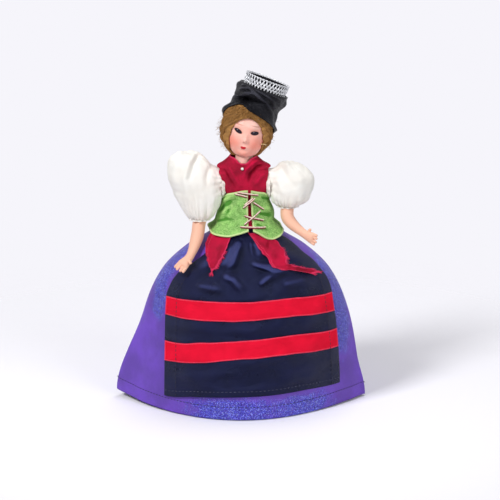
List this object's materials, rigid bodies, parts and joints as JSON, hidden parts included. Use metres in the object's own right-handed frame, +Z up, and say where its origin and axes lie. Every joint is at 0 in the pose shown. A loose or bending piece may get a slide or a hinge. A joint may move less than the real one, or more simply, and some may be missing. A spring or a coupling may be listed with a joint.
{
  "type": "celluloid doll",
  "caption": "Small strung doll in a laced folk dress: wide skirt, striped apron, felt bodice, puff sleeves, scarf and tall cap with a net crown.",
  "frame": {"origin": "centre of the overall box at floor level, where the skirt hem and the two soles stand", "axes": "+Z up, the doll faces -Y, its own left side is +X"},
  "size_m": [0.124, 0.0805, 0.1662],
  "materials": {
    "celluloid": "soft sheen",
    "mohair": "fine curly hair",
    "black_satin": "satin",
    "card": "stiff card",
    "silver_net": "metal thread lace",
    "steel_wire": "drawn wire",
    "elastic": "covered cord",
    "muslin": "plain weave",
    "red_cotton": "plain weave",
    "green_felt": "felt",
    "lacing_cord": "twisted cord",
    "violet_satin": "satin",
    "navy_satin": "satin",
    "red_ribbon": "ribbed ribbon",
    "pearl": "gloss"
  },
  "bodies": {
    "torso": {"torso_shell": "celluloid", "blouse_body": "muslin", "scarf": "red_cotton", "neck_pin": "pearl", "felt_bodice": "green_felt", "bodice_lacing": "lacing_cord", "skirt_front": "violet_satin", "skirt_back": "violet_satin", "petticoat": "muslin", "apron": "navy_satin", "apron_waistband": "navy_satin", "upper_ribbon": "red_ribbon", "lower_ribbon": "red_ribbon", "right_scarf_end": "red_cotton", "left_scarf_end": "red_cotton", "arm_elastic": "elastic", "leg_elastic": "elastic", "neck_elastic": "elastic"},
    "head": {"head": "celluloid", "neck_hook": "steel_wire", "wig": "mohair", "satin_cap": "black_satin", "cap_former": "card", "net_crown": "silver_net", "hairpin": "steel_wire"},
    "right_arm": {"right_arm": "celluloid", "right_sleeve": "muslin", "right_arm_hook": "steel_wire"},
    "left_arm": {"left_arm": "celluloid", "left_sleeve": "muslin", "left_arm_hook": "steel_wire"},
    "right_leg": {"right_leg": "celluloid", "right_leg_hook": "steel_wire"},
    "left_leg": {"left_leg": "celluloid", "left_leg_hook": "steel_wire"}
  },
  "joints": [
    {"name": "neck_turn", "type": "hinge", "parent": "torso", "child": "head", "pos_m": [0.0012, 0, 0.1186], "axis": [0.0872, 0, 0.9962], "range_deg": [-60, 60]},
    {"name": "right_shoulder", "type": "hinge", "parent": "torso", "child": "right_arm", "pos_m": [-0.0092, 0, 0.1115], "axis": [-1, 0, 0], "range_deg": [0, 80]},
    {"name": "left_shoulder", "type": "hinge", "parent": "torso", "child": "left_arm", "pos_m": [0.0144, 0, 0.1115], "axis": [-1, 0, 0], "range_deg": [-25, 80]},
    {"name": "right_hip", "type": "hinge", "parent": "torso", "child": "right_leg", "pos_m": [-0.0054, 0, 0.07], "axis": [-1, 0, 0], "range_deg": [-16, 16]},
    {"name": "left_hip", "type": "hinge", "parent": "torso", "child": "left_leg", "pos_m": [0.0106, 0, 0.07], "axis": [-1, 0, 0], "range_deg": [-16, 16]}
  ]
}
